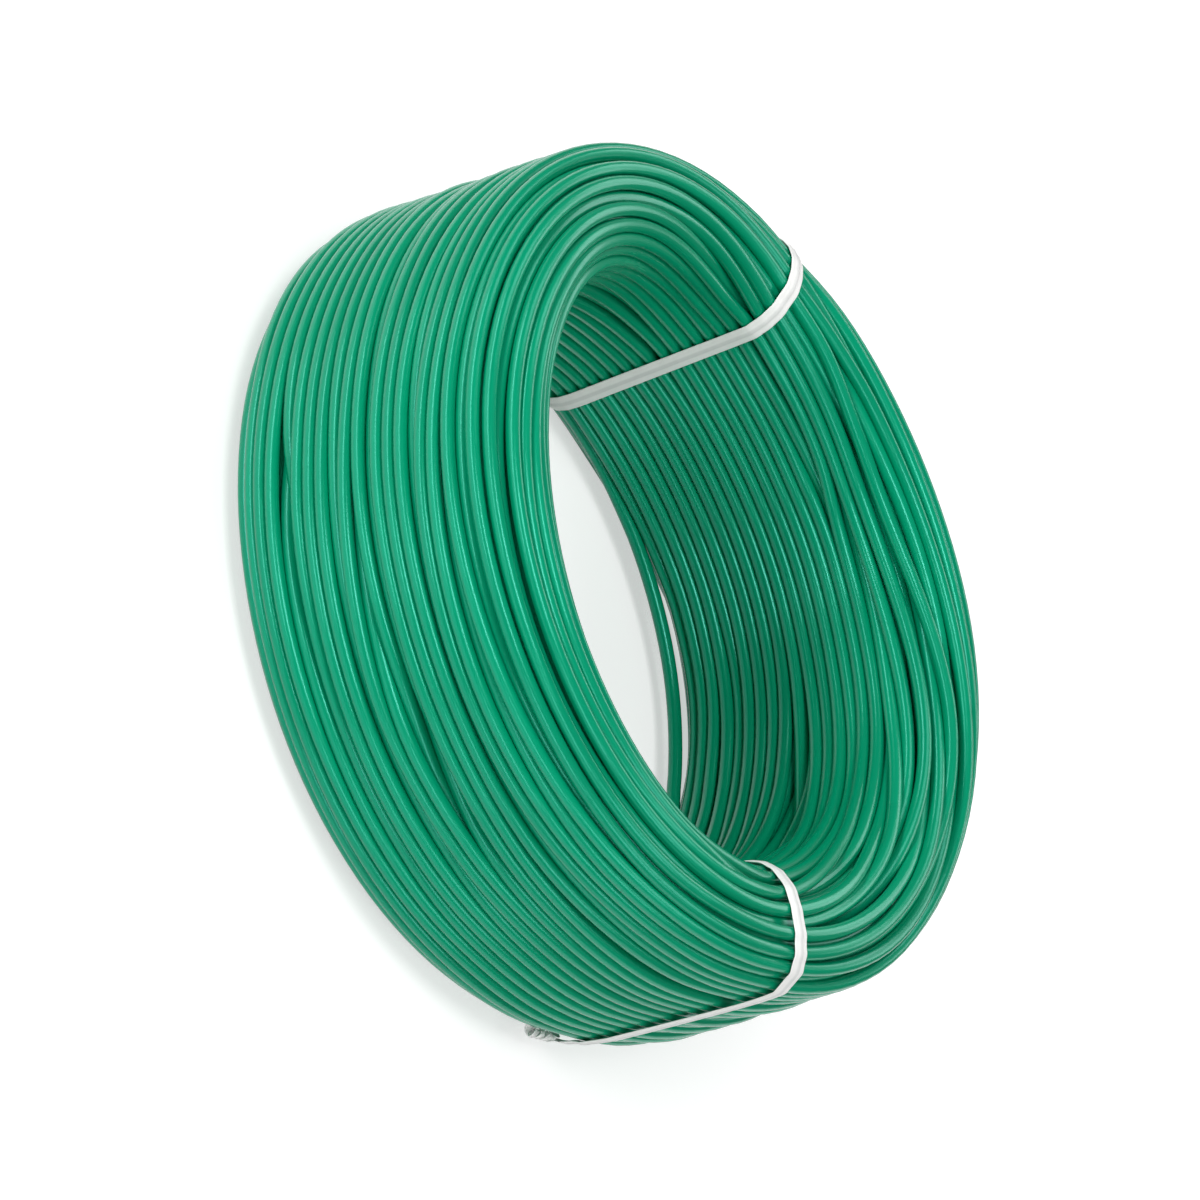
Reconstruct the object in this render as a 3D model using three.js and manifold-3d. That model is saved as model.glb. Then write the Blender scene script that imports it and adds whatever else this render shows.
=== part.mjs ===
// A coil of insulated single-core building wire, held by two twist ties.
//
// The wire is wound in layers on a former that is then taken away, so the coil is a bare ring
// with an open bore. It lies flat: its axis is +Z, and the origin is the centre of the face that
// it rests on. Lengths are in millimetres and angles in degrees, counted from +X towards +Y.

import * as THREE from "three";
import { mergeVertices } from "three/addons/utils/BufferGeometryUtils.js";
import Module from "manifold-3d";

const wasm = await Module();
wasm.setup();

// The wire: a solid copper conductor of 2.5 mm2 in a PVC sheath.
const CONDUCTOR_DIAMETER = 1.78;
const SHEATH_WALL = 0.8;
const WIRE_DIAMETER = CONDUCTOR_DIAMETER + 2 * SHEATH_WALL;

// The winding. Turns of one layer sink between the turns below, so layers lie less than a
// wire's diameter apart.
const BORE_DIAMETER = 142;
const COIL_WIDTH = 80.4;
const LAYER_COUNT = 9;
const LAYER_PITCH = 3.3;

// The coil's edges are rounded, because the edge turns of the outer and inner layers slump.
const EDGE_REACH = 12;
const EDGE_HEIGHT = 15;

// The ties: flat plastic ribbons with a thin steel core, whose ends are twisted together and
// folded down. A tie pulls the turns in under it, and so lies a little below their surface.
const TIE_WIDTH = 4.8;
const TIE_THICKNESS = 0.9;
const TIE_BITE = 2.2;
const TWIST_LENGTH = 11;
const TWIST_WIDTH = 3.2;
const TWIST_THICKNESS = 1.7;
const TWIST_TURNS = 1.5;
const TIES = [
  { name: "twist_tie_1", angle: 133, twistHeight: 40, holds: "finish" },
  { name: "twist_tie_2", angle: 342, twistHeight: 6.5, holds: "start" },
];

// The wire's free ends. Each lies in the hollow of a rounded lower edge and runs on past the
// tie that holds it.
const START_END = { from: 302, to: 354 };
const FINISH_END = { from: 99, to: 151 };

// Clearance between pieces that touch.
const GAP = 0.3;

// How finely round shapes are divided.
const RING_SEGMENTS = 48;
const EDGE_STEPS = 5;
const WIRE_SIDES = 10;
const WIRE_STEPS = 18;
const TWIST_STEPS = 10;

const BORE_RADIUS = BORE_DIAMETER / 2;
const WIRE_RADIUS = WIRE_DIAMETER / 2;
const OUTER_RADIUS = BORE_RADIUS + (LAYER_COUNT - 1) * LAYER_PITCH + WIRE_DIAMETER;

const sheathLook = { color: 0x12946b, roughness: 0.32, metalness: 0 };
const copperLook = { color: 0xb86b45, roughness: 0.3, metalness: 1 };
const tieLook = { color: 0xf2f1ee, roughness: 0.5, metalness: 0 };

const coil = new THREE.Group();

function addPiece(name, geometry, look) {
  const piece = new THREE.Mesh(geometry, new THREE.MeshStandardMaterial(look));
  piece.name = name;
  coil.add(piece);
}

// Closed geometry to a solid for cutting and joining, and back.
function toSolid(geometry) {
  const bare = geometry.clone();
  bare.deleteAttribute("normal");
  bare.deleteAttribute("uv");
  const merged = mergeVertices(bare, 1e-4);
  const vertProperties = new Float32Array(merged.attributes.position.array);
  const triVerts = new Uint32Array(merged.index.array);
  return new wasm.Manifold(new wasm.Mesh({ numProp: 3, vertProperties, triVerts }));
}

function toGeometry(solid) {
  const mesh = solid.getMesh();
  const geometry = new THREE.BufferGeometry();
  geometry.setAttribute("position", new THREE.BufferAttribute(mesh.vertProperties, 3));
  geometry.setIndex(new THREE.BufferAttribute(mesh.triVerts, 1));
  return geometry;
}

// The coil's section, in a plane through its axis: x is the radius and y the height. Each of
// its four edges is a quarter of an ellipse, and inset moves the whole outline inwards.
function sectionOutline(inset) {
  const midHeight = COIL_WIDTH / 2;
  const corners = [
    { x: OUTER_RADIUS - EDGE_REACH, y: midHeight - EDGE_HEIGHT, start: 0 },
    { x: BORE_RADIUS + EDGE_REACH, y: midHeight - EDGE_HEIGHT, start: 1 },
    { x: BORE_RADIUS + EDGE_REACH, y: EDGE_HEIGHT - midHeight, start: 2 },
    { x: OUTER_RADIUS - EDGE_REACH, y: EDGE_HEIGHT - midHeight, start: 3 },
  ];
  const outline = [];
  for (const corner of corners) {
    for (let step = 0; step <= EDGE_STEPS; step++) {
      const angle = (corner.start + step / EDGE_STEPS) * (Math.PI / 2);
      const x = corner.x + (EDGE_REACH - inset) * Math.cos(angle);
      const y = corner.y + (EDGE_HEIGHT - inset) * Math.sin(angle);
      outline.push(new THREE.Vector2(x, midHeight + y));
    }
  }
  return outline;
}

// Height of the coil's lower face at a radius. The upper face mirrors it.
function lowerFace(radius) {
  const depth = Math.min(radius - BORE_RADIUS, OUTER_RADIUS - radius);
  if (depth >= EDGE_REACH) {
    return 0;
  }
  const share = 1 - depth / EDGE_REACH;
  return EDGE_HEIGHT * (1 - Math.sqrt(Math.max(0, 1 - share * share)));
}

// One layer of turns: a ring that follows the coil's rounded edges.
function layerRing(index) {
  const inner = BORE_RADIUS + index * LAYER_PITCH;
  const isLast = index === LAYER_COUNT - 1;
  const outer = isLast ? OUTER_RADIUS : inner + LAYER_PITCH - GAP;
  const radii = [inner, (inner + outer) / 2, outer];
  const profile = radii.map((radius) => new THREE.Vector2(radius, lowerFace(radius)));
  for (const radius of radii.toReversed()) {
    profile.push(new THREE.Vector2(radius, COIL_WIDTH - lowerFace(radius)));
  }
  profile.push(profile[0].clone());
  return new THREE.LatheGeometry(profile, RING_SEGMENTS).rotateX(Math.PI / 2);
}

// Turns geometry drawn in the section plane, with its depth along +z, to stand at an angle
// round the coil, centred on the plane through the coil's axis.
function standAt(geometry, angle, depth) {
  const turn = THREE.MathUtils.degToRad(angle);
  const radial = new THREE.Vector3(Math.cos(turn), Math.sin(turn), 0);
  const up = new THREE.Vector3(0, 0, 1);
  const along = new THREE.Vector3().crossVectors(radial, up);
  const place = new THREE.Matrix4().makeBasis(radial, up, along);
  return geometry.translate(0, 0, -depth / 2).applyMatrix4(place);
}

function extrudeSection(shape, depth, angle) {
  const geometry = new THREE.ExtrudeGeometry(shape, { depth, bevelEnabled: false, steps: 1 });
  return standAt(geometry, angle, depth);
}

// What a tie takes away from the layers: all that stands more than its bite above the section.
function tieGroove(tie) {
  const margin = 5;
  const depth = TIE_WIDTH + 2 * GAP;
  const surround = new THREE.Shape([
    new THREE.Vector2(BORE_RADIUS - margin, -margin),
    new THREE.Vector2(OUTER_RADIUS + margin, -margin),
    new THREE.Vector2(OUTER_RADIUS + margin, COIL_WIDTH + margin),
    new THREE.Vector2(BORE_RADIUS - margin, COIL_WIDTH + margin),
  ]);
  surround.holes.push(new THREE.Path(sectionOutline(TIE_BITE)));
  return toSolid(extrudeSection(surround, depth, tie.angle));
}

// Where a free end lies in the section: against the middle of a rounded lower edge.
function endCentre(side) {
  const sign = side === "finish" ? 1 : -1;
  const edgeX = side === "finish" ? OUTER_RADIUS - EDGE_REACH : BORE_RADIUS + EDGE_REACH;
  const slope = Math.PI / 4;
  const onEdge = new THREE.Vector2(
    edgeX + sign * EDGE_REACH * Math.cos(slope),
    EDGE_HEIGHT * (1 - Math.sin(slope)),
  );
  const outward = new THREE.Vector2(
    sign * EDGE_HEIGHT * Math.cos(slope),
    -EDGE_REACH * Math.sin(slope),
  ).normalize();
  return onEdge.addScaledVector(outward, WIRE_RADIUS + GAP);
}

function circleAround(centre, radius, sides) {
  const points = [];
  for (let side = 0; side < sides; side++) {
    const angle = (side / sides) * Math.PI * 2;
    const x = centre.x + radius * Math.cos(angle);
    const y = centre.y + radius * Math.sin(angle);
    points.push(new THREE.Vector2(x, y));
  }
  return points;
}

// The convex outline of a set of points, counter-clockwise: the path that a taut band takes.
function tautOutline(points) {
  const sorted = points.toSorted((a, b) => a.x - b.x || a.y - b.y);
  const turnsLeft = (a, b, c) => (b.x - a.x) * (c.y - a.y) - (b.y - a.y) * (c.x - a.x) > 1e-6;
  const halfOutline = (run) => {
    const kept = [];
    for (const point of run) {
      while (kept.length > 1 && !turnsLeft(kept.at(-2), kept.at(-1), point)) {
        kept.pop();
      }
      kept.push(point);
    }
    return kept.slice(0, -1);
  };
  return [...halfOutline(sorted), ...halfOutline(sorted.toReversed())];
}

// A tie's outline at a distance above the floor of its groove, going round the free end too.
function tieOutline(tie, distance) {
  const overTurns = sectionOutline(TIE_BITE - distance);
  const cornerReach = (WIRE_RADIUS + distance) / Math.cos(Math.PI / WIRE_SIDES);
  const overEnd = circleAround(endCentre(tie.holds), cornerReach, WIRE_SIDES);
  return tautOutline([...overTurns, ...overEnd]);
}

function tieBand(tie) {
  const band = new THREE.Shape(tieOutline(tie, GAP + TIE_THICKNESS));
  band.holes.push(new THREE.Path(tieOutline(tie, GAP)));
  return toSolid(extrudeSection(band, TIE_WIDTH, tie.angle));
}

// Where a tie's twisted ends lie on the coil, and the direction that faces away from it there.
function twistPlace(tie) {
  const sine = Math.max(0, 1 - tie.twistHeight / EDGE_HEIGHT);
  const cosine = Math.sqrt(1 - sine * sine);
  const surface = new THREE.Vector2(OUTER_RADIUS - EDGE_REACH * (1 - cosine), tie.twistHeight);
  const outward = new THREE.Vector2(EDGE_HEIGHT * cosine, -EDGE_REACH * sine);
  return { surface, slope: outward.angle() };
}

// The twisted ends: a short root that rises from the band, and a flat bar folded down along the
// coil, whose section turns as it goes. Both are drawn with +x away from the coil.
function twistedEnds(tie) {
  const lift = GAP + TWIST_WIDTH / 2;
  const bar = new THREE.BoxGeometry(TWIST_WIDTH, TWIST_THICKNESS, TWIST_LENGTH, 2, 1, TWIST_STEPS);
  bar.translate(0, 0, TWIST_LENGTH / 2);
  const position = bar.attributes.position;
  const corner = new THREE.Vector3();
  const axis = new THREE.Vector3(0, 0, 1);
  for (let index = 0; index < position.count; index++) {
    corner.fromBufferAttribute(position, index);
    corner.applyAxisAngle(axis, (corner.z / TWIST_LENGTH) * TWIST_TURNS * Math.PI);
    position.setXYZ(index, corner.x + lift, corner.y, corner.z);
  }
  const rootStart = GAP + TIE_THICKNESS / 2 - TIE_BITE;
  const rootLength = lift - rootStart;
  const root = new THREE.BoxGeometry(rootLength, TWIST_THICKNESS, TIE_WIDTH / 2);
  root.translate(rootStart + rootLength / 2, 0, TIE_WIDTH / 4);
  const { surface, slope } = twistPlace(tie);
  const placed = [bar, root].map((geometry) => {
    geometry.rotateZ(slope).translate(surface.x, surface.y, 0);
    return toSolid(standAt(geometry, tie.angle, 0));
  });
  return placed[0].add(placed[1]);
}

// An arc round the coil's axis at a radius and a height.
class Arc extends THREE.Curve {
  constructor(centre, from, to) {
    super();
    this.radius = centre.x;
    this.height = centre.y;
    this.from = THREE.MathUtils.degToRad(from);
    this.to = THREE.MathUtils.degToRad(to);
  }

  getPoint(t, target = new THREE.Vector3()) {
    const angle = THREE.MathUtils.lerp(this.from, this.to, t);
    const x = this.radius * Math.cos(angle);
    const y = this.radius * Math.sin(angle);
    return target.set(x, y, this.height);
  }
}

function wireEnd(side, range) {
  const path = new Arc(endCentre(side), range.from, range.to);
  const options = { steps: WIRE_STEPS, bevelEnabled: false, extrudePath: path };
  const origin = new THREE.Vector2();
  const conductor = new THREE.Shape(circleAround(origin, CONDUCTOR_DIAMETER / 2, WIRE_SIDES));
  const sheath = new THREE.Shape(circleAround(origin, WIRE_RADIUS, WIRE_SIDES));
  const boreRadius = CONDUCTOR_DIAMETER / 2 + GAP;
  sheath.holes.push(new THREE.Path(circleAround(origin, boreRadius, WIRE_SIDES)));
  addPiece(`${side}_end_sheath`, new THREE.ExtrudeGeometry(sheath, options), sheathLook);
  addPiece(`${side}_end_conductor`, new THREE.ExtrudeGeometry(conductor, options), copperLook);
}

// The winding, layer by layer from the bore outwards, with the ties' grooves cut in.
const grooves = TIES.map(tieGroove);
for (let index = 0; index < LAYER_COUNT; index++) {
  let ring = toSolid(layerRing(index));
  for (const groove of grooves) {
    ring = ring.subtract(groove);
  }
  addPiece(`winding_layer_${index + 1}`, toGeometry(ring), sheathLook);
}

wireEnd("start", START_END);
wireEnd("finish", FINISH_END);

for (const tie of TIES) {
  addPiece(tie.name, toGeometry(tieBand(tie).add(twistedEnds(tie))), tieLook);
}

export default coil;
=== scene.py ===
# A coil of insulated single-core building wire, held by two twist ties, built round its CAD frame.
# The coil lies flat: its axis is +Z and the face it rests on is at z = 0. Lengths are in metres,
# except where a section says otherwise.

import bmesh
import bpy
import math
import numpy as np
from mathutils import Matrix, Vector
from mathutils.geometry import convex_hull_2d


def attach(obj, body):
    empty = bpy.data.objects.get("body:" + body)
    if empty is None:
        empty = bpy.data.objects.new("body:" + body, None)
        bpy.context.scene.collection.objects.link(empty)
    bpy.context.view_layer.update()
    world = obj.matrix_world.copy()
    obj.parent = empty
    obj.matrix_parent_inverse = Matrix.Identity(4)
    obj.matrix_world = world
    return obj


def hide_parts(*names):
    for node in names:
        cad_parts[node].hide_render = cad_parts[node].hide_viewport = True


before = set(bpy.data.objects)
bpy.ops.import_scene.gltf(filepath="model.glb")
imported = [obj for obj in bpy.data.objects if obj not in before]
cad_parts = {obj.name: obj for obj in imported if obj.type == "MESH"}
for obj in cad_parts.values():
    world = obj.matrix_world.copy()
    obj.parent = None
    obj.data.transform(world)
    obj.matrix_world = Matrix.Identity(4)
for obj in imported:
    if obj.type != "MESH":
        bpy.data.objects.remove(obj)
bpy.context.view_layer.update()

# ---------------------------------------------------------------------------------------------
# Camera. A long lens looks a little down on the coil's open face, and is rolled over so far that
# the coil seems to stand on its outer wall.
# ---------------------------------------------------------------------------------------------

COIL_RADIUS = 0.10078
COIL_WIDTH = 0.0804
CAMERA_LENS = 360.2
FILM_WIDTH = 36
FARTHEST_SEEN = 50
CAMERA_DISTANCE = 27.49 * COIL_RADIUS
AIM_LEFT = 0.0213 * COIL_RADIUS
AIM_DOWN = 0.0110 * COIL_RADIUS

coil_middle = Vector((0, 0, COIL_WIDTH / 2))
off_axis = math.radians(58.91)
roll_angle = math.radians(-71.92)

towards_camera = Vector((0, -math.sin(off_axis), math.cos(off_axis)))
level = Vector((1, 0, 0))
upright = towards_camera.cross(level)
picture_right = level * math.cos(roll_angle) - upright * math.sin(roll_angle)
picture_up = level * math.sin(roll_angle) + upright * math.cos(roll_angle)

camera = bpy.data.objects.new("camera", bpy.data.cameras.new("camera"))
camera.data.lens = CAMERA_LENS
camera.data.sensor_width = FILM_WIDTH
camera.data.clip_end = FARTHEST_SEEN
camera.matrix_world = Matrix((
    (picture_right.x, picture_up.x, towards_camera.x, 0),
    (picture_right.y, picture_up.y, towards_camera.y, 0),
    (picture_right.z, picture_up.z, towards_camera.z, 0),
    (0, 0, 0, 1),
))
camera.location = (
    coil_middle
    + towards_camera * CAMERA_DISTANCE
    - picture_right * AIM_LEFT
    - picture_up * AIM_DOWN
)
bpy.context.scene.collection.objects.link(camera)
bpy.context.scene.camera = camera

# ---------------------------------------------------------------------------------------------
# The lay of the wire: about 100 m, wound turn by turn in nine layers on a former and taken off
# it. The wire's own spring leaves the turns a little loose and uneven, and here they settle.
# ---------------------------------------------------------------------------------------------

# In this section lengths are in millimetres, angles are in degrees round the ring, and a place is
# a radius and a height.
WIRE = 3.38
HALF = WIRE / 2
BORE = 71.0
OUTSIDE = COIL_RADIUS * 1000
WIDTH = COIL_WIDTH * 1000
STATIONS_IN_TURN = 96
START_ANGLE = 354.0
FINISH_ANGLE = 99.0
END_ARC = 52.0
START_PLACE = (72.96, 3.15)
FINISH_PLACE = (98.82, 3.15)
TIE_ANGLES = (133.0, 342.0)
TURNS_IN_LAYER = (19, 20, 21, 22, 22, 21, 21, 20, 18)
LAYER_PITCH = (OUTSIDE - BORE - WIRE) / (len(TURNS_IN_LAYER) - 1)
FORMER_EDGE = 12
FORMER_EDGE_RISE = 9.75

chance = np.random.default_rng(11)


def ease(x):
    x = np.clip(x, 0, 1)
    return x * x * (3 - 2 * x)


def ramp(a, b, x):
    return ease((x - a) / (b - a))


# Where the former puts the turns of a layer, as (radius, height), from the back face up.
def places_in_layer(layer):
    radius = BORE + HALF + layer * LAYER_PITCH
    corner = 0.0
    for r in (radius - 0.7 * HALF, radius, radius + 0.7 * HALF):
        depth = np.clip(min(r - BORE, OUTSIDE - r) / FORMER_EDGE, 0, 1)
        corner = max(corner, FORMER_EDGE_RISE * (1 - math.sqrt(1 - (1 - depth) ** 2)))
    low = HALF + corner
    count = TURNS_IN_LAYER[layer]
    rows = np.arange(count) + 0.5 * (layer % 2)
    return [(radius, z) for z in low + rows * (WIDTH - 2 * low) / (count - 0.5)]


# Up one layer and down the next. The middle layer goes up in every other place and fills the
# rest on its way down, so that the wire finishes at the back face, where it started.
places = []
layer_of = []
for layer, first, step in ((0, 0, 1), (1, -1, -1), (2, 0, 1), (3, -1, -1), (4, 0, 2),
                           (4, -1, -2), (5, 0, 1), (6, -1, -1), (7, 0, 1), (8, -1, -1)):
    row = places_in_layer(layer)[first::step]
    places += row
    layer_of += [layer] * len(row)
places = np.array(places)
turns = len(places)

run_end = turns - 1 + (START_ANGLE - FINISH_ANGLE) / 360
stations = int(round(run_end * STATIONS_IN_TURN)) + 1
run = np.arange(stations) / STATIONS_IN_TURN
angle = np.radians(START_ANGLE - 360 * run)
degrees = np.degrees(angle) % 360
end_run = END_ARC / 360

# A turn keeps its place for most of the way round, and steps over to the next near 25 degrees.
# Where a step is, and how much of the way it takes, are in parts of a turn.
STEP_OVER = 0.914
END_STEP = 0.30
LAYER_STEP = 0.35

guide = np.zeros((stations, 2)) + START_PLACE
step_at = STEP_OVER + chance.normal(0, 0.03, turns)
step_width = chance.uniform(0.14, 0.34, turns)
last = np.array(START_PLACE)
for turn in range(turns):
    at = turn - 1 + step_at[turn]
    width = step_width[turn]
    if turn == 0:
        at = width = END_STEP
    elif layer_of[turn] != layer_of[turn - 1]:
        width = LAYER_STEP
    guide += (places[turn] - last) * ease((run - at) / width + 0.5)[:, None]
    last = places[turn]
at = run_end - end_run - END_STEP / 2
guide += (np.array(FINISH_PLACE) - last) * ease((run - at) / END_STEP + 0.5)[:, None]


# Here and there a turn in view dives under another, and the two run on in swapped places until
# the next step over. PASSING is how far each leaves the straight way as they pass.
PASSING = 1.9


def swap(over, under, where, width):
    for turn, other, side in ((over, under, 1), (under, over, -1)):
        shift = places[other] - places[turn]
        across = np.array((-shift[1], shift[0])) / np.hypot(*shift)
        there = ease((run - turn - (START_ANGLE - where) / 360) / width + 0.5)
        back = ease((run - turn - step_at[turn + 1]) / 0.25 + 0.5)
        guide[:] += shift * (there - back)[:, None]
        guide[:] += across * (PASSING * side * np.sin(np.pi * there))[:, None]


# Which turn goes over which, at what angle, and in how much of a turn.
for over, under, where, width in ((180, 150, 236, 0.42), (172, 157, 171, 0.42),
                                  (181, 149, 126, 0.35), (174, 155, 283, 0.34),
                                  (173, 156, 310, 0.44), (11, 27, 283, 0.39),
                                  (12, 26, 235, 0.35), (4, 34, 140, 0.40),
                                  (13, 25, 263, 0.40)):
    swap(over, under, where, width)

# The wire is not laid with a machine's precision: it wanders a little, a few times a turn.
WANDERS_IN_TURN = 2.7
WANDER = 0.42

wander = chance.normal(0, WANDER, (int(stations / STATIONS_IN_TURN * WANDERS_IN_TURN) + 4, 2))
cell = (run * WANDERS_IN_TURN).astype(int)
share = ease(run * WANDERS_IN_TURN - cell)[:, None]
guide += wander[cell] * (1 - share) + wander[cell + 1] * share


# Off the former the ring settles: the section turns over round its own middle, one way on one
# side of the ring and the other way on the other, which is what makes turns leave the face.
ROLL_CORNER = 13
ROLL_STEPS = 16
NUDGE = 0.05


def roll(r, z):
    half_r = (OUTSIDE - BORE) / 2
    over_r = np.abs(r - (BORE + OUTSIDE) / 2) - (half_r - ROLL_CORNER)
    over_z = np.abs(z - WIDTH / 2) - (WIDTH / 2 - ROLL_CORNER)
    outside = np.hypot(np.maximum(over_r, 0), np.maximum(over_z, 0))
    depth = ROLL_CORNER - outside - np.minimum(np.maximum(over_r, over_z), 0)
    depth = np.clip(depth, 0, half_r)
    strength = depth - depth * depth / (2 * half_r)
    at_bore = ramp(0.0, 0.95, z / WIDTH)
    at_outside = ramp(0.45, 1.0, z / WIDTH)
    share = ramp(BORE, OUTSIDE, r)
    return strength * (at_bore * (1 - share) + at_outside * share)


# Waves round the ring, as cosine and sine of one, two, three and four times the angle.
def wave(*sizes):
    total = 0
    for k, size in enumerate(sizes):
        turn_wave = np.sin if k % 2 else np.cos
        total = total + size * turn_wave((k // 2 + 1) * angle)
    return total


settle = wave(-1.0, -16.7, 3.4, 1.0)
for _ in range(ROLL_STEPS):
    r, z = guide.T
    out = -(roll(r, z + NUDGE) - roll(r, z - NUDGE)) / (2 * NUDGE)
    up = (roll(r + NUDGE, z) - roll(r - NUDGE, z)) / (2 * NUDGE)
    guide += np.stack([out, up], 1) * (settle / ROLL_STEPS)[:, None]


def away_from(middle):
    return (degrees - middle + 180) % 360 - 180


def near(middle, width):
    return np.exp(-(away_from(middle) / width) ** 2)


def broad(middle, width):
    return np.exp(-(away_from(middle) / width) ** 4)


# The section of the ring that holds the turns, and how it swells and leans round the ring. The
# ties pinch it.
TIE_PINCH = 1.3
TIE_PINCH_REACH = 9
CORNER = 17.2

pinch = near(TIE_ANGLES[0], TIE_PINCH_REACH) + near(TIE_ANGLES[1], TIE_PINCH_REACH)
outer = OUTSIDE + wave(1.1, -0.4, 1.3, 0.5, 0.2, 1.3, 0.2, 0.2) - TIE_PINCH * pinch
outer += 1.0 * near(93, 25) - 0.5 * near(215, 20) - 0.4 * near(320, 15)
inner = 70.6 + 0.8 * wave(-0.9, 0.6, -0.7, -0.2, -0.7, -1.5, -0.5, 0.2) + 0.9 * pinch
inner += 1.1 * near(315, 18) + 0.5 * near(140, 20)
front = WIDTH + wave(-0.6, 0.4, 0.1, 1.2, -0.6, -0.2) - TIE_PINCH * pinch
back = np.maximum(0.6 - wave(-0.9, 1.0, -1.0, 0.4, -0.7, -0.2), 0)
back += np.maximum(1.15 - back, 0) * pinch
lean = wave(1.2, -0.6)
back_lift = 6.0 * near(66, 30)
middle = (inner + outer) / 2
front_outer_corner = CORNER - 6.0 * broad(340, 28)
back_outer_corner = CORNER + 1.0 - 5.2 * broad(125, 34)
back_inner_corner = CORNER - 4.2 * broad(328, 34)

share = (guide - (BORE, 0)) / (OUTSIDE - BORE, WIDTH)
guide[:, 0] = inner + share[:, 0] * (outer - inner) + lean * (share[:, 1] - 0.5)
guide[:, 1] = back + share[:, 1] * (front - back)
for _ in range(6):
    pair = guide[:-4] + guide[4:] + 4 * (guide[1:-3] + guide[3:-1])
    guide[2:-2] = (pair + 6 * guide[2:-2]) / 16

# The two ends lie along the back face, held there, and the first turn stands off inside the bore
# for a while, so that light shows between it and the others. A turn is quite loose again so many
# stations after a stretch that is held.
FIRST_STANDS_OFF = (0.70, 0.86)
STAND_OFF_HEIGHT = 7.6
LOOSE_AFTER = 14

held_runs = ((0, end_run), FIRST_STANDS_OFF, (run_end - end_run, run_end))
from_held = np.min([np.maximum(np.maximum(a - run, run - b), 0) for a, b in held_runs], 0)
guide += (START_PLACE - guide) * (1 - ramp(0, 0.2, run - end_run))[:, None]
guide += (FINISH_PLACE - guide) * (1 - ramp(0, 0.2, run_end - end_run - run))[:, None]
stand_off = ramp(0.655, 0.755, run) * (1 - ramp(0.80, 0.89, run))
stood_off = np.stack([inner + HALF - 0.7, 0 * run + STAND_OFF_HEIGHT], 1)
guide += (stood_off - guide) * stand_off[:, None]
for _ in range(4):
    guide[1:-1] = (guide[:-2] + guide[2:] + 2 * guide[1:-1]) / 4
free = (from_held > 0).astype(float)
loose = ease(from_held * STATIONS_IN_TURN / LOOSE_AFTER)

# Some turns sit deeper in the face and some keep a little room round them.
DEEP_SHARE = 0.40
ROOMY_SHARE = 0.45
OWN_ROOM = 0.42

turn_of = np.minimum((run + 0.1).astype(int), turns)
deep = chance.random(turns + 1) < DEEP_SHARE
roomy = (chance.random(turns + 1) < ROOMY_SHARE) & ~deep
sinking = np.where(deep, -0.05, 0.03)[turn_of]
room = np.where(roomy, OWN_ROOM, 0.0)[turn_of]

# The second turn and the rest keep clear of the first one along a slanting gap. Elsewhere that
# limit stands so far back that it holds nothing.
GAP = 1.35
NO_GAP = -7

gap = ramp(38, 56, degrees) * (1 - ramp(86, 100, degrees)) * (run > 0.95)
slant = np.stack([0.517 + 0 * run, 0.856 * np.maximum(np.sin(angle), 0.01)], 1)
slant /= np.hypot(*slant.T)[:, None]
first_turn = guide[np.arange(stations) % STATIONS_IN_TURN]
clear = (slant * first_turn).sum(1) + WIRE + GAP * gap + NO_GAP * (1 - gap)
keeps_clear = (gap > 0.01) & (guide[:, 1] < 40)


# How far each station is outside the ring's section, and which way is out.
def outside_of(place):
    x = place[:, 0] - lean * (place[:, 1] - WIDTH / 2) / WIDTH
    low = back + back_lift * np.clip((middle - x) / (middle - inner), 0, 1)
    mid_z = (low + front) / 2
    back_corner = np.where(x > middle, back_outer_corner, back_inner_corner)
    front_corner = np.where(x > middle, front_outer_corner, CORNER)
    half_r = (outer - inner) / 2 - HALF
    half_z = (front - low) / 2 - HALF
    corner = np.where(place[:, 1] > mid_z, front_corner, back_corner) - HALF
    corner = np.minimum(corner, half_r - 0.2)
    over_r = np.abs(x - middle) - (half_r - corner)
    over_z = np.abs(place[:, 1] - mid_z) - (half_z - corner)
    beyond = np.hypot(np.maximum(over_r, 0), np.maximum(over_z, 0))
    beyond += np.minimum(np.maximum(over_r, over_z), 0) - corner
    round_corner = (over_r > 0) & (over_z > 0)
    out_r = np.where(round_corner, over_r, over_r > over_z)
    out_z = np.where(round_corner, over_z, over_r <= over_z)
    out = np.stack([out_r * np.sign(x - middle), out_z * np.sign(place[:, 1] - mid_z)], 1)
    return beyond, out / (np.hypot(*out.T)[:, None] + 1e-9)


def close_pairs(place):
    one, other = [], []
    for station in range(STATIONS_IN_TURN):
        row = np.arange(station, stations, STATIONS_IN_TURN)
        apart = place[row][:, None] - place[row][None]
        i, j = np.nonzero(np.triu((apart ** 2).sum(2) < (1.5 * WIRE) ** 2, 1))
        one.append(row[i])
        other.append(row[j])
    return np.concatenate(one), np.concatenate(other)


# The turns settle: they push each other apart, the ring's section holds them together, and the
# stiffness of the wire takes out short bends.
SETTLING = 360
STEPS_TO_NEW_PAIRS = 12
SHARP_BEND = 0.38
STIFFNESS = 0.3
EVENING = 0.125
PUSH = 0.35
HOLD = 0.6

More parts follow.
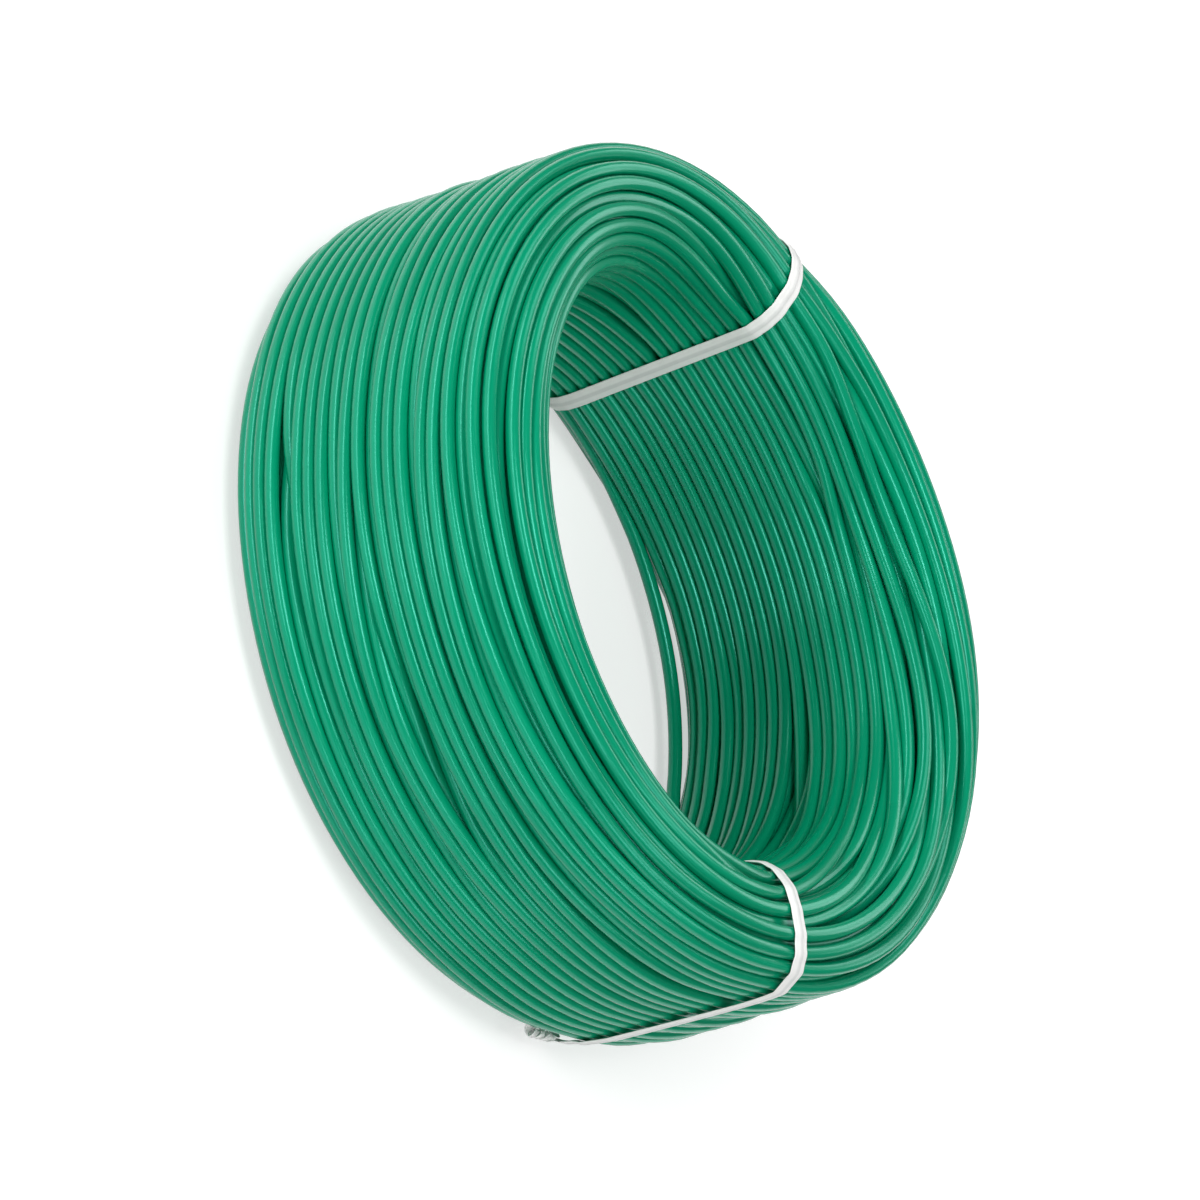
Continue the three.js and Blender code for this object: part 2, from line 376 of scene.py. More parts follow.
place = guide.copy()
for step in range(SETTLING):
    if step % STEPS_TO_NEW_PAIRS == 0:
        one, other = close_pairs(place)
    strain = place - guide
    bend = place[:-2] + place[2:] - 2 * place[1:-1]
    sharp = np.convolve(np.hypot(*bend.T) > SHARP_BEND, np.ones(7), "same") > 0
    stiff = np.maximum(STIFFNESS * sharp * np.clip((step - 60) / 60, 0, 1),
                       STIFFNESS * (1 - loose[1:-1]))
    move = np.zeros_like(place)
    move[1:-1] = EVENING * (strain[:-2] + strain[2:] - 2 * strain[1:-1]) + stiff[:, None] * bend
    place += move * free[:, None]
    if 40 < step < 220:
        place[:, 1] += np.clip((place[:, 1] - 60) / 12, 0, 1) * free * sinking
    own_room = room * np.clip((place[:, 1] - 62) / 8, 0, 1) * np.clip((280 - step) / 40, 0, 1)
    for _ in range(2):
        apart = place[one] - place[other]
        distance = np.hypot(*apart.T) + 1e-9
        overlap = np.maximum(WIRE + own_room[one] + own_room[other] - distance, 0)
        both = free[one] + free[other]
        push = apart * (PUSH * overlap * (1 + (both < 1.5)) / distance)[:, None]
        for k in (0, 1):
            place[:, k] += np.bincount(one, push[:, k] * free[one], stations)
            place[:, k] -= np.bincount(other, push[:, k] * free[other], stations)
    beyond, out = outside_of(place)
    place -= out * (np.maximum(beyond, 0) * HOLD * free * loose)[:, None]
    short = np.where(keeps_clear, np.maximum(clear - (slant * place).sum(1), 0), 0)
    place += slant * (short * 0.5 * min(1, step / 60))[:, None]
    place[:, 1] = np.where(free, np.maximum(place[:, 1], HALF), place[:, 1])

# ---------------------------------------------------------------------------------------------
# The wire itself: solid copper, 1.78 mm thick, in a green PVC sheath 3.38 mm across, drawn
# through a die, so it is glossy with faint lines along it. One piece for each layer of turns.
# ---------------------------------------------------------------------------------------------

WIRE_RADIUS = HALF / 1000
WIRE_SIDES = 24
FINER = 1.25
SHEATH_GREEN = (0.0, 0.295, 0.147, 1)
SHEATH_DEEP = (0.0, 0.245, 0.12, 1)
SHEATH_PALE = (0.005, 0.34, 0.17, 1)


# One output of a node. Sums written with it add Math nodes, and node() adds any other kind.
class Wired:
    def __init__(self, tree, socket=None):
        self.tree = tree
        self.socket = socket

    def node(self, kind, settings=None, inputs=None, output=0):
        made = self.tree.nodes.new(kind)
        for name, value in (settings or {}).items():
            setattr(made, name, value)
        for name, value in (inputs or {}).items():
            if isinstance(value, Wired):
                self.tree.links.new(value.socket, made.inputs[name])
            else:
                made.inputs[name].default_value = value
        return Wired(self.tree, made.outputs[output] if len(made.outputs) else None)

    def math(self, operation, *values):
        return self.node("ShaderNodeMath", {"operation": operation}, dict(enumerate(values)))

    def vector(self, operation, *values):
        return self.node("ShaderNodeVectorMath", {"operation": operation}, dict(enumerate(values)))

    def __add__(self, other):
        return self.math("ADD", self, other)

    def __rsub__(self, other):
        return self.math("SUBTRACT", other, self)

    def __mul__(self, other):
        return self.math("MULTIPLY", self, other)

    def __pow__(self, other):
        return self.math("POWER", self, other)

    def __gt__(self, other):
        return self.math("GREATER_THAN", self, other)

    __radd__ = __add__

    def within(self, low, high):
        return self.node("ShaderNodeMapRange", {"interpolation_type": "SMOOTHSTEP"},
                         {"Value": self, "From Min": low, "From Max": high})

    def blend(self, first, second):
        return self.node("ShaderNodeMix", {"data_type": "RGBA"}, {0: self, 6: first, 7: second}, 2)

    def into(self, socket):
        self.tree.links.new(self.socket, socket)

    def noise(self, **sizes):
        words = {name.capitalize(): value for name, value in sizes.items()}
        return self.node("ShaderNodeTexNoise", None, {"Vector": self, **words})


# A new material, and its Principled shader with the sockets that are the same all over set.
def new_finish(name, **uniform):
    finish = bpy.data.materials.new(name)
    finish.use_nodes = True
    shader = finish.node_tree.nodes["Principled BSDF"]
    for socket, value in uniform.items():
        shader.inputs[socket.replace("_", " ")].default_value = value
    return finish, Wired(finish.node_tree), shader.inputs


# The sheath's patterns follow two attributes made with each wire: "along" is metres from the
# start of the coil, and "around" points out from the wire's middle, so there is no seam.
def pvc_sheath():
    finish, start, sheath = new_finish(
        "pvc_sheath", Specular_IOR_Level=0.7, Specular_Tint=(0.24, 1.0, 0.87, 1))
    around = start.node("ShaderNodeAttribute", {"attribute_name": "around"}, output="Vector")
    along = start.node("ShaderNodeAttribute", {"attribute_name": "along"}, output="Fac")

    def pattern(across, lengthwise):
        drawn_out = start.node("ShaderNodeCombineXYZ", None, {"Z": along * lengthwise})
        wide = start.node("ShaderNodeVectorMath", {"operation": "SCALE"},
                          {"Vector": around, "Scale": across})
        return wide.vector("ADD", wide, drawn_out)

    # The pigment is a little uneven from one length to the next, and the die leaves fine lines.
    drift = pattern(0.35, 7).noise(scale=1.0, detail=2.0, roughness=0.5)
    lines = pattern(7, 2.5).noise(scale=1.0, detail=3.0, roughness=0.6)
    # Rubbed patches from the winding machine, duller and paler.
    rubbed = pattern(1.4, 45).noise(scale=1.0, detail=4.0, roughness=0.6).within(0.60, 0.72)
    grain = pattern(9, 2600).noise(scale=1.0, detail=2.0, roughness=0.6)

    shade = (drift * 0.75 + lines * 0.25).within(0.32, 0.68)
    green = shade.blend(SHEATH_DEEP, SHEATH_GREEN)
    green = (rubbed * 0.35).blend(green, SHEATH_PALE)
    green.into(sheath["Base Color"])
    (0.19 + lines * 0.06 + rubbed * 0.10 + grain * 0.02).into(sheath["Roughness"])
    height = lines * 0.8 + grain * 0.2
    height.node("ShaderNodeBump", None, {"Strength": 0.5, "Distance": 0.00003,
                                         "Height": height}).into(sheath["Normal"])
    return finish


sheath_finish = pvc_sheath()


# A solid round wire along a path of joined points: its outside and its two cut faces, which meet
# in a sharp edge. The least angle of such an edge is in radians.
SHARP_EDGE = 1.3


def wire_tree():
    tree = bpy.data.node_groups.new("wire_along_path", "GeometryNodeTree")
    for name, kind in (("Path", "Geometry"), ("Radius", "Float"), ("Sides", "Int"),
                       ("From Start", "Float"), ("Finish", "Material")):
        tree.interface.new_socket(name, in_out="INPUT", socket_type="NodeSocket" + kind)
    tree.interface.new_socket("Wire", in_out="OUTPUT", socket_type="NodeSocketGeometry")
    start = Wired(tree)

    def given(name):
        return start.node("NodeGroupInput", output=name)

    def store(shape, name, kind, value):
        return start.node("GeometryNodeStoreNamedAttribute", {"data_type": kind},
                          {"Geometry": shape, "Name": name, "Value": value})

    line = start.node("GeometryNodeMeshToCurve", None, {"Mesh": given("Path")})
    length = start.node("GeometryNodeSplineParameter", output="Length") + given("From Start")
    line = store(line, "along", "FLOAT", length)
    ring = start.node("GeometryNodeCurvePrimitiveCircle", None,
                      {"Resolution": given("Sides"), "Radius": given("Radius")})
    outward = start.node("ShaderNodeVectorMath", {"operation": "NORMALIZE"},
                         {0: start.node("GeometryNodeInputPosition")})
    ring = store(ring, "around", "FLOAT_VECTOR", outward)
    wire = start.node("GeometryNodeCurveToMesh", None,
                      {"Curve": line, "Profile Curve": ring, "Fill Caps": True})
    corner = start.node("GeometryNodeInputMeshEdgeAngle") > SHARP_EDGE
    wire = start.node("GeometryNodeSetShadeSmooth", {"domain": "EDGE"},
                      {"Geometry": wire, "Selection": corner, "Shade Smooth": False})
    wire = start.node("GeometryNodeRealizeInstances", None, {"Geometry": wire})
    wire = start.node("GeometryNodeSetMaterial", None,
                      {"Geometry": wire, "Material": given("Finish")})
    start.node("NodeGroupOutput", None, {"Wire": wire})
    return tree


# A mesh of joined points run through a tree, with the tree's inputs given by name, and made a
# plain mesh. Extra values for each point go in as attributes.
def made_along(tree, name, points, attributes=None, **given):
    mesh = bpy.data.meshes.new(name)
    mesh.from_pydata([tuple(p) for p in points], [(i, i + 1) for i in range(len(points) - 1)], [])
    for attribute, values in (attributes or {}).items():
        kind = "FLOAT_VECTOR" if np.ndim(values) == 2 else "FLOAT"
        own = mesh.attributes.new(attribute, kind, "POINT")
        own.data.foreach_set("vector" if kind == "FLOAT_VECTOR" else "value", np.ravel(values))
    piece = bpy.data.objects.new(name, mesh)
    bpy.context.scene.collection.objects.link(piece)
    modifier = piece.modifiers.new("along", "NODES")
    modifier.node_group = tree
    for item in tree.interface.items_tree:
        if item.in_out == "INPUT" and item.name.replace(" ", "_") in given:
            modifier[item.identifier] = given[item.name.replace(" ", "_")]
    bpy.context.view_layer.update()
    graph = bpy.context.evaluated_depsgraph_get()
    solid = bpy.data.meshes.new_from_object(piece.evaluated_get(graph), depsgraph=graph)
    piece.modifiers.clear()
    piece.data = solid
    return piece


# More points than stations, by the given factor, on the smooth curve through the stations.
def finer(values, times):
    at = np.arange(int((len(values) - 1) * times) + 1) / times
    i = np.minimum(at.astype(int), len(values) - 2)
    f = at - i
    a, b, c, d = (values[np.clip(i + k, 0, len(values) - 1)] for k in (-1, 0, 1, 2))
    return b + 0.5 * f * (c - a + f * (2 * a - 5 * b + 4 * c - d + f * (3 * (b - c) + d - a)))


r, z, way = (finer(values, FINER) for values in (place[:, 0], place[:, 1], angle))
route = np.stack([r * np.cos(way), r * np.sin(way), z], 1) / 1000
covered = np.concatenate([[0], np.cumsum(np.linalg.norm(np.diff(route, axis=0), axis=1))])

# Each layer ends in the middle of the step up to the next.
first_turns = np.concatenate([[0], np.cumsum(TURNS_IN_LAYER)[:-1]])
cuts = [int((turn - 1 + STEP_OVER) * STATIONS_IN_TURN * FINER) for turn in first_turns[1:]]
wire_through = wire_tree()
for k, (first, last) in enumerate(zip([0] + cuts, cuts + [len(route) - 1]), 1):
    own = route[first:last + 1].tolist()
    layer = made_along(wire_through, f"wire_layer_{k}", own, Radius=WIRE_RADIUS, Sides=WIRE_SIDES,
                       From_Start=float(covered[first]), Finish=sheath_finish)
    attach(layer, "root")
    "bare" if last == len(route) - 1 else "object"
    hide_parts(f"winding_layer_{k}")
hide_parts("start_end_sheath")
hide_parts("finish_end_sheath")

# ---------------------------------------------------------------------------------------------
# The copper core, bare at the wire's two ends, where pliers cut it: it stands a little proud of
# the sheath, with its edge rounded over and a low ridge across it where the jaws met.
# ---------------------------------------------------------------------------------------------

COPPER_RADIUS = 0.00089
COPPER_SIDES = 20
COPPER_PROUD = 0.0004
CUT_EDGE = 0.00007
CUT_RINGS = (0.00015, 0.00015, 0.0002, 0.0002)
CUT_RIDGE = 0.00016
CUT_RIDGE_WIDTH = 0.0005
COPPER_BRIGHT = (0.76, 0.45, 0.29, 1)
COPPER_TARNISHED = (0.60, 0.32, 0.19, 1)


def drawn_copper():
    finish, start, copper = new_finish("drawn_copper", Metallic=1.0)
    spot = start.node("ShaderNodeTexCoord", output="Object")
    tarnish = spot.noise(scale=900.0, detail=3.0, roughness=0.6).within(0.35, 0.7)
    scratches = spot.node("ShaderNodeMapping", None, {"Vector": spot, "Scale": (1, 1, 9)})
    scratches = scratches.noise(scale=2500.0, detail=3.0, roughness=0.7)
    tarnish.blend(COPPER_BRIGHT, COPPER_TARNISHED).into(copper["Base Color"])
    (0.26 + tarnish * 0.12 + scratches * 0.06).into(copper["Roughness"])
    scratches.node("ShaderNodeBump", None, {"Strength": 0.4, "Distance": 0.00002,
                                            "Height": scratches}).into(copper["Normal"])
    return finish


copper_finish = drawn_copper()


# The core along the last stretch of the wire, from inside out to the cut.
def copper_core(name, inside_out):
    inside_out = [Vector(point) for point in inside_out]
    out = (inside_out[-1] - inside_out[-2]).normalized()
    cut = inside_out[-1] + out * COPPER_PROUD
    core = made_along(wire_through, name, inside_out + [cut], Radius=COPPER_RADIUS,
                      Sides=COPPER_SIDES, From_Start=0.0, Finish=copper_finish)
    shape = bmesh.new()
    shape.from_mesh(core.data)
    face = min((face for face in shape.faces if len(face.verts) == COPPER_SIDES),
               key=lambda face: (face.calc_center_median() - cut).length)
    bmesh.ops.inset_individual(shape, faces=[face], thickness=CUT_EDGE, depth=CUT_EDGE)
    for ring in CUT_RINGS:
        bmesh.ops.inset_individual(shape, faces=[face], thickness=ring, depth=0)
    jaw_line = out.orthogonal().normalized()
    for corner in shape.verts:
        if (corner.co - cut).dot(out) > CUT_EDGE / 2:
            from_line = abs((corner.co - cut).dot(jaw_line))
            corner.co += out * CUT_RIDGE * max(0, 1 - from_line / CUT_RIDGE_WIDTH)
    shape.to_mesh(core.data)
    shape.free()
    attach(core, "root")
    return core


end_points = int(end_run * STATIONS_IN_TURN * FINER) + 1
start_copper = copper_core("start_copper", route[:end_points][::-1])
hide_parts("start_end_conductor")
finish_copper = copper_core("finish_copper", route[-end_points:])
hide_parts("finish_end_conductor")

# ---------------------------------------------------------------------------------------------
# Two twist ties: a white plastic ribbon moulded over a steel core, drawn tight round the section
# of the ring, with its two ends crossed and twisted together flat against the coil.
# ---------------------------------------------------------------------------------------------

RIBBON_WIDTH = 0.0046
RIBBON_THICKNESS = 0.00046
CORE_RISE = 0.00026
RIBBON_SIDES = 32
RIBBON_WHITE = (0.90, 0.90, 0.885, 1)
RIBBON_OVER_CORE = (0.70, 0.71, 0.70, 1)
RIBBON_EDGE = (0.92, 0.92, 0.91, 1)


def ribbon_plastic():
    finish, start, ribbon = new_finish("ribbon_plastic", Specular_IOR_Level=0.4)
    across = start.node("ShaderNodeAttribute", {"attribute_name": "across"}, output="Fac")
    along = start.node("ShaderNodeAttribute", {"attribute_name": "along"}, output="Fac")
    spot = start.node("ShaderNodeTexCoord", output="Object")
    from_middle = across.math("ABSOLUTE", across)
    over_core = 1 - from_middle.within(0.12, 0.38)
    edge = from_middle.within(0.80, 1.0)
    dull = spot.noise(scale=420.0, detail=3.0, roughness=0.6).within(0.35, 0.75)
    lines = start.node("ShaderNodeCombineXYZ", None, {"X": across * 9.0, "Y": along * 60.0})
    lines = lines.noise(scale=1.0, detail=3.0, roughness=0.6)
    white = (over_core * 0.75 + dull * 0.2).blend(RIBBON_WHITE, RIBBON_OVER_CORE)
    (edge * 0.5).blend(white, RIBBON_EDGE).into(ribbon["Base Color"])
    (0.40 + dull * 0.12 + lines * 0.08).into(ribbon["Roughness"])
    height = lines * 0.6 + dull * 0.4
    height.node("ShaderNodeBump", None, {"Strength": 0.5, "Distance": 0.00003,
                                         "Height": height}).into(ribbon["Normal"])
    return finish


ribbon_finish = ribbon_plastic()


# A flat ribbon with a ridge down its middle, along a path whose points say which way it faces
# and how wide it is there.
def ribbon_tree():
    tree = bpy.data.node_groups.new("ribbon_along_path", "GeometryNodeTree")
    for name, kind in (("Path", "Geometry"), ("Width", "Float"), ("Thickness", "Float"),
                       ("Core Rise", "Float"), ("Sides", "Int"), ("Finish", "Material")):
        tree.interface.new_socket(name, in_out="INPUT", socket_type="NodeSocket" + kind)
    tree.interface.new_socket("Ribbon", in_out="OUTPUT", socket_type="NodeSocketGeometry")
    start = Wired(tree)

    def given(name):
        return start.node("NodeGroupInput", output=name)

    def named(name, kind):
        return start.node("GeometryNodeInputNamedAttribute", {"data_type": kind}, {"Name": name})

    def store(shape, name, value):
        return start.node("GeometryNodeStoreNamedAttribute", {"data_type": "FLOAT"},
                          {"Geometry": shape, "Name": name, "Value": value})

    line = start.node("GeometryNodeMeshToCurve", None, {"Mesh": given("Path")})
    line = start.node("GeometryNodeSetCurveNormal", {"mode": "FREE"},
                      {"Curve": line, "Normal": named("facing", "FLOAT_VECTOR")})
    line = store(line, "along", start.node("GeometryNodeSplineParameter", output="Length"))
    ring = start.node("GeometryNodeCurvePrimitiveCircle", None,
                      {"Resolution": given("Sides"), "Radius": 1.0})
    spot = start.node("GeometryNodeInputPosition")
    side = start.node("ShaderNodeSeparateXYZ", None, {0: spot}, "Y")
    face = start.node("ShaderNodeSeparateXYZ", None, {0: spot}, "X")
    ring = store(ring, "across", side)
    flat = (1 - side.math("ABSOLUTE", side) ** 10.0) ** 0.5
    ridge = side.math("EXPONENT", side * side * -17.0)
    height = side.math("SIGN", face) * (flat * given("Thickness") * 0.5 + ridge * given("Core Rise"))
    profile = start.node("ShaderNodeCombineXYZ", None,
                         {"X": height, "Y": side * given("Width") * 0.5})
    ring = start.node("GeometryNodeSetPosition", None, {"Geometry": ring, "Position": profile})
    ribbon = start.node("GeometryNodeCurveToMesh", None,
                        {"Curve": line, "Profile Curve": ring, "Scale": named("size", "FLOAT"),
                         "Fill Caps": True})
    corner = start.node("GeometryNodeInputMeshEdgeAngle") > SHARP_EDGE
    ribbon = start.node("GeometryNodeSetShadeSmooth", {"domain": "EDGE"},
                        {"Geometry": ribbon, "Selection": corner, "Shade Smooth": False})
    ribbon = start.node("GeometryNodeRealizeInstances", None, {"Geometry": ribbon})
    ribbon = start.node("GeometryNodeSetMaterial", None,
                        {"Geometry": ribbon, "Material": given("Finish")})
    start.node("NodeGroupOutput", None, {"Ribbon": ribbon})
    return tree


ribbon_through = ribbon_tree()

# How the ribbon lies on the turns. From here on its lengths are in millimetres: how far its middle
# is off the wires and above the floor, the steps along its way, and the stretch over which it
# softens a bend. RIBBON_REACH is half its width in degrees round the ring.
RIBBON_OFF_WIRE = 0.45
RIBBON_LOWEST = 0.5
RIBBON_STEP = 0.5
RIBBON_STIFFNESS = 8.0
RIBBON_REACH = 1.4
SOFTENING_STEPS = 36
OUTLINE_POINTS = 32
BEARINGS_IN_DEGREE = 2


# Where the turns are at one angle round the ring.
def turns_at(at):
    first = (START_ANGLE - at) % 360 / 360 * STATIONS_IN_TURN
    station = np.arange(first, stations - 1, STATIONS_IN_TURN)
    i = station.astype(int)
    share = (station - i)[:, None]
    return place[i] * (1 - share) + place[i + 1] * share


section_middle = np.array(((BORE + OUTSIDE) / 2, WIDTH / 2))
bearing = np.radians(np.arange(0, 360, 1 / BEARINGS_IN_DEGREE))
towards = np.stack([np.cos(bearing), np.sin(bearing)])


# How far from the section's middle a band drawn tight round all the turns at one angle lies.
def tight_band(at):
    ring = np.arange(OUTLINE_POINTS) * math.tau / OUTLINE_POINTS
    ring = (HALF + RIBBON_OFF_WIRE) * np.stack([np.cos(ring), np.sin(ring)], 1)
    dots = (turns_at(at)[:, None] + ring - section_middle).reshape(-1, 2)
    hull = dots[convex_hull_2d(dots.tolist())]
    side = np.roll(hull, -1, 0) - hull
    normal = np.stack([side[:, 1], -side[:, 0]], 1)
    normal /= np.hypot(*normal.T)[:, None] + 1e-12
    if (normal * hull).sum() < 0:
        normal = -normal
    ahead = normal @ towards
    distance = (normal * hull).sum(1)[:, None] / np.where(ahead > 1e-6, ahead, 1e-6)
    return distance.min(0)


# The ribbon's way round the section. It is not quite square across the wires, and slips is how
# many degrees it has slipped round the ring, at some bearings from the section's middle. From one
# of them to the next it runs straight, as far as its stiffness lets it, over the highest turns
# that any part of its width meets.
def ribbon_way(at, slips, tail_at):
    knots, values = zip(*sorted(slips.items()))
    own = np.degrees(bearing)
    column = np.arange(len(bearing))
    tried = np.arange(-8, 9)
    bands = np.array([tight_band(at + offset) for offset in tried])
    reaching = np.arange(-SOFTENING_STEPS, SOFTENING_STEPS + 1)
    softener = np.exp(-(reaching * RIBBON_STEP / RIBBON_STIFFNESS) ** 2)
    slip = np.interp(own, knots, values, period=360)
    for _ in range(3):
        reach = np.zeros(len(bearing))
        for across in (-1, -0.5, 0, 0.5, 1):
            spot = slip + across * RIBBON_REACH - tried[0]
            i = spot.astype(int)
            share = spot - i
            band = bands[i, column] * (1 - share) + bands[i + 1, column] * share
            reach = np.maximum(reach, band)
        x, y = reach * towards
        way = np.cumsum(np.hypot(x - np.roll(x, 1), y - np.roll(y, 1)))
        knots_on_way = np.interp(knots, own, way)
        even = np.arange(0, way[-1], RIBBON_STEP)
        bent = np.interp(even, knots_on_way, values, period=way[-1])
        bent = np.concatenate([bent[-SOFTENING_STEPS:], bent, bent[:SOFTENING_STEPS]])
        bent = np.convolve(bent, softener / softener.sum(), "valid")
        slip = np.interp(way, even, bent, period=way[-1])
    first = int(tail_at * BEARINGS_IN_DEGREE) % len(bearing)
    order = (np.arange(len(bearing) + 1) + first) % len(bearing)
    r, z = section_middle[:, None] + (reach * towards)[:, order]
    z = np.maximum(z, RIBBON_LOWEST)
    u = np.concatenate([[0], np.cumsum(np.hypot(np.diff(r), np.diff(z)))])
    return u, r, z, at + slip[order]


# The twisted ends: how long they are, how far the ribbon takes to bend into them, how far off the
# coil and how far apart they run, how often they turn and how much narrower they are pressed.
TAIL = 8.0
TAIL_BEND = 2.6
TAIL_HEIGHT = 1.15
TAIL_APART = 0.5
TAIL_TWISTS = 1.5
TAIL_WIDTH = 0.7
TAIL_STEPS = 45
RIBBON_SPACING = 0.8


def twist_tie(name, at, slips, tail_at):
    u, r, z, turned = ribbon_way(at, slips, tail_at)
    length = u[-1]
    points, facings, sizes = [], [], []

    # a is along the wires, b along the ribbon's way and h off the coil, all from the crossing.
    def put(a, b, h, facing_b, facing_h):
        near_by = (b + np.array((-0.6, 0, 0.6))) % length
        own_r, own_z = np.interp(near_by, u, r), np.interp(near_by, u, z)
        way_r, way_z = own_r[2] - own_r[0], own_z[2] - own_z[0]
        size = math.hypot(way_r, way_z)
        way_r, way_z = way_r / size, way_z / size
        spot_r = own_r[1] + h * way_z
        turn = math.radians(np.interp(near_by[1], u, turned)) - a / spot_r
        out = Vector((math.cos(turn), math.sin(turn), 0))
        points.append((out * spot_r + Vector((0, 0, own_z[1] - h * way_r))) / 1000)
        facings.append(out * (facing_b * way_r + facing_h * way_z)
                       + Vector((0, 0, facing_b * way_z - facing_h * way_r)))
        sizes.append(TAIL_WIDTH + (1 - TAIL_WIDTH) * float(ramp(0, 5, min(b % length, -b % length))))

    # The ends come together, one over the other, bend along the coil and twist round each other.
    def tail(side, along):
        turned_by = math.tau * (0.25 + TAIL_TWISTS * along * along * 1.1 / (along + 0.1))
        apart = TAIL_APART * side * (1 + 1.4 * float(ramp(0.8, 1, along)))
        put(TAIL_BEND + TAIL * along, apart * math.cos(turned_by),
            TAIL_HEIGHT + apart * math.sin(turned_by), math.cos(turned_by), math.sin(turned_by))

    def on_coil(side, b):
        bend = math.asin(min(1, max(0, 1 - abs(b) / TAIL_BEND)))
        rise = (TAIL_HEIGHT + TAIL_APART * side) * (1 - float(ramp(0, 6.5, abs(b))))
        put(TAIL_BEND * (1 - math.cos(bend)), b, rise, 0, 1)

    bend_steps = [TAIL_BEND * (1 - math.cos(math.radians(9 * k))) for k in range(1, 11)]
    for k in range(TAIL_STEPS, -1, -1):
        tail(1, k / TAIL_STEPS)
    for b in bend_steps:
        on_coil(1, b)
    for b in np.arange(TAIL_BEND + RIBBON_SPACING, length / 2, RIBBON_SPACING):
        on_coil(1, b)
    for b in np.arange(length / 2, length - TAIL_BEND - RIBBON_SPACING / 2, RIBBON_SPACING):
        on_coil(-1, b - length)
    for b in bend_steps[::-1]:
        on_coil(-1, -b)
    for k in range(TAIL_STEPS + 1):
        tail(-1, k / TAIL_STEPS)

    # Each point faces square to the ribbon's own direction there.
    own = np.array(points)
    ahead = np.gradient(own, axis=0)
    ahead /= np.linalg.norm(ahead, axis=1)[:, None]
    facing = np.array(facings)
    facing -= ahead * (facing * ahead).sum(1)[:, None]
    facing /= np.linalg.norm(facing, axis=1)[:, None]
    tie = made_along(ribbon_through, name, own, {"facing": facing, "size": sizes},
                     Width=RIBBON_WIDTH, Thickness=RIBBON_THICKNESS, Core_Rise=CORE_RISE,
                     Sides=RIBBON_SIDES, Finish=ribbon_finish)
    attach(tie, "root")
    return tie


upper_tie = twist_tie("upper_twist_tie", TIE_ANGLES[0],
                      {66: 0.1, 110: -0.3, 250: -3.5, 290: -2.3}, 15)
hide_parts("twist_tie_1")
lower_tie = twist_tie("lower_twist_tie", TIE_ANGLES[1],
                      {56: 3.6, 76: -0.4, 98: -1.1, 116: 1.9, 250: 1.8, 292: 1.7}, 287)
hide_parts("twist_tie_2")

# ---------------------------------------------------------------------------------------------
# Floor and light: a plain white floor, and soft boxes round the coil as a studio has them, low
# enough that the white ties keep their shape.
# ---------------------------------------------------------------------------------------------

FLOOR_REACH = 6
FLOOR_WHITE = (0.62, 0.62, 0.62, 1)
FLOOR_GLOW = 0.56
WORLD_LIGHT = 0.1

floor_mesh = bpy.data.meshes.new("floor")
floor_mesh.from_pydata([(-FLOOR_REACH, -FLOOR_REACH, 0), (FLOOR_REACH, -FLOOR_REACH, 0),
                        (FLOOR_REACH, FLOOR_REACH, 0), (-FLOOR_REACH, FLOOR_REACH, 0)],
                       [], [(0, 1, 2, 3)])
floor = bpy.data.objects.new("floor", floor_mesh)
bpy.context.scene.collection.objects.link(floor)


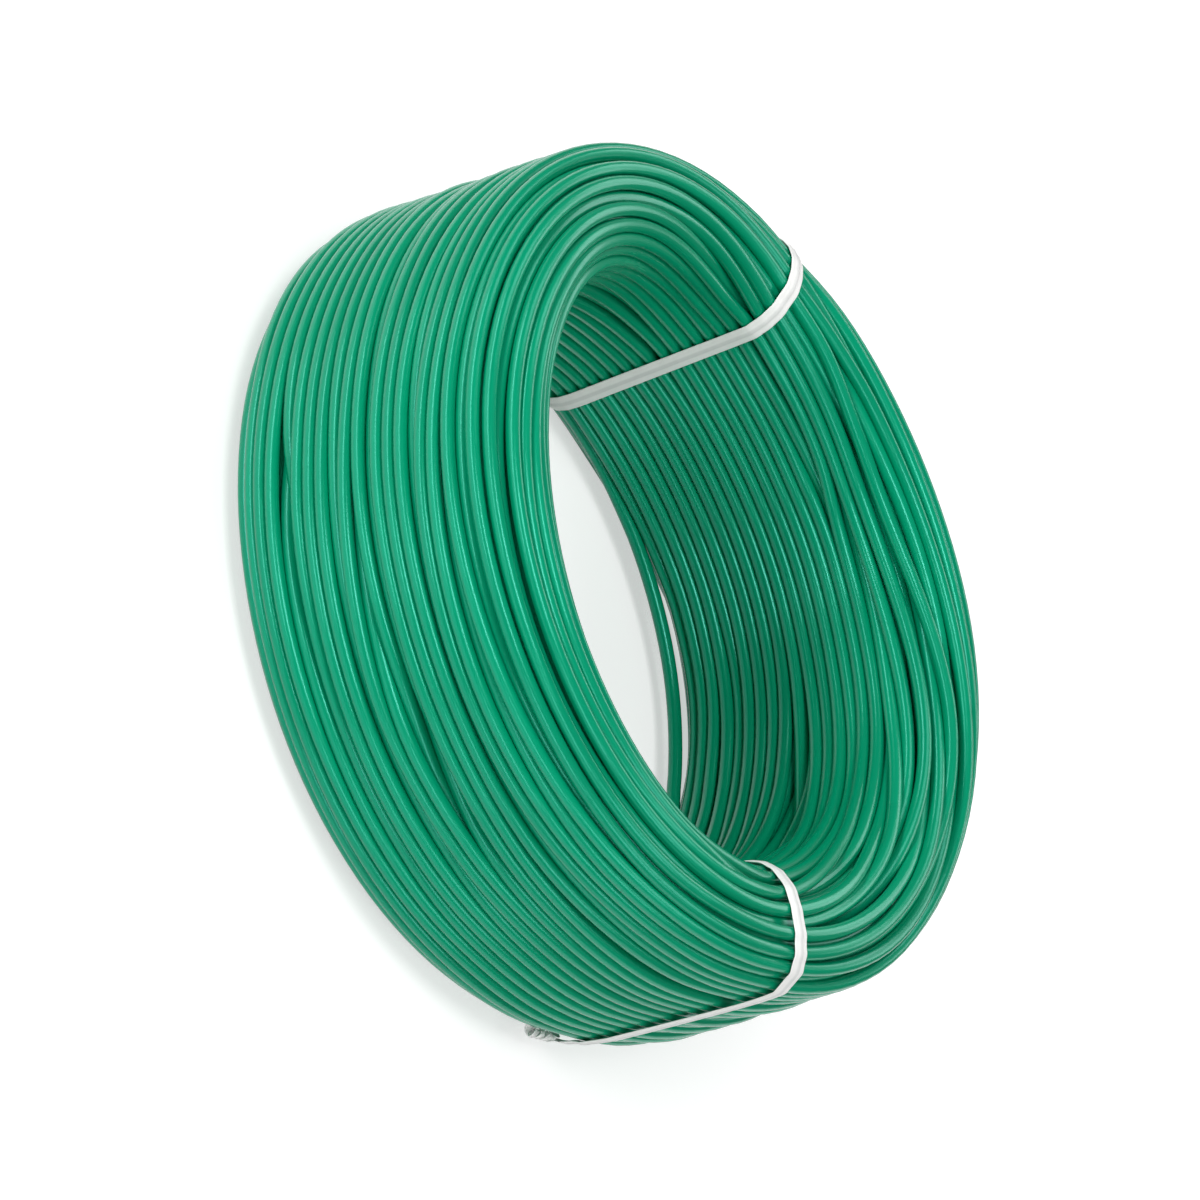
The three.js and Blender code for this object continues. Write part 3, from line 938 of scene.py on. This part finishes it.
# Seen straight, in a gloss or through glass, the floor is white; it still takes the shadow.
def white_floor():
    finish, start, _ = new_finish("white_floor", Base_Color=FLOOR_WHITE, Roughness=0.9,
                                  Specular_IOR_Level=0.0)
    shader = Wired(finish.node_tree, finish.node_tree.nodes["Principled BSDF"].outputs[0])
    seen = start.node("ShaderNodeLightPath", output="Is Camera Ray")
    for other in ("Is Glossy Ray", "Is Transmission Ray"):
        seen = seen.math("MAXIMUM", seen, start.node("ShaderNodeLightPath", output=other))
    glow = start.node("ShaderNodeEmission", None, {"Strength": FLOOR_GLOW})
    bright = start.node("ShaderNodeAddShader", None, {0: shader, 1: glow})
    chosen = start.node("ShaderNodeMixShader", None, {0: seen, 1: shader, 2: bright})
    chosen.into(finish.node_tree.nodes["Material Output"].inputs["Surface"])
    return finish


floor_mesh.materials.append(white_floor())

world = bpy.data.worlds.new("studio")
world.use_nodes = True
world.node_tree.nodes["Background"].inputs["Color"].default_value = (1, 1, 1, 1)
world.node_tree.nodes["Background"].inputs["Strength"].default_value = WORLD_LIGHT
bpy.context.scene.world = world
bpy.context.scene.view_settings.view_transform = "Standard"


# A lamp that faces the coil's middle, so many degrees round the coil and up from the floor.
def softbox(name, azimuth, elevation, distance, width, height, watts):
    turn, rise = math.radians(azimuth), math.radians(elevation)
    towards_lamp = Vector((math.cos(turn) * math.cos(rise), math.sin(turn) * math.cos(rise),
                           math.sin(rise)))
    lamp = bpy.data.objects.new(name, bpy.data.lights.new(name, "AREA"))
    lamp.data.shape = "RECTANGLE"
    lamp.data.size = width
    lamp.data.size_y = height
    lamp.data.energy = watts
    lamp.location = coil_middle + towards_lamp * distance
    lamp.rotation_euler = towards_lamp.to_track_quat("Z", "Y").to_euler()
    bpy.context.scene.collection.objects.link(lamp)


softbox("key", azimuth=218, elevation=12, distance=1.6, width=2.3, height=0.3, watts=18)
softbox("overhead", azimuth=250, elevation=58, distance=1.6, width=0.9, height=0.4, watts=12.5)
softbox("front_fill", azimuth=300, elevation=20, distance=1.6, width=0.8, height=0.5, watts=5)
softbox("right_fill", azimuth=340, elevation=38, distance=1.6, width=0.8, height=0.5, watts=5)
softbox("rim", azimuth=90, elevation=31, distance=1.8, width=1.8, height=0.5, watts=8)
softbox("top_fill", azimuth=140, elevation=50, distance=1.6, width=0.8, height=0.4, watts=3)
softbox("back_fill", azimuth=30, elevation=55, distance=1.6, width=0.8, height=0.4, watts=3.5)
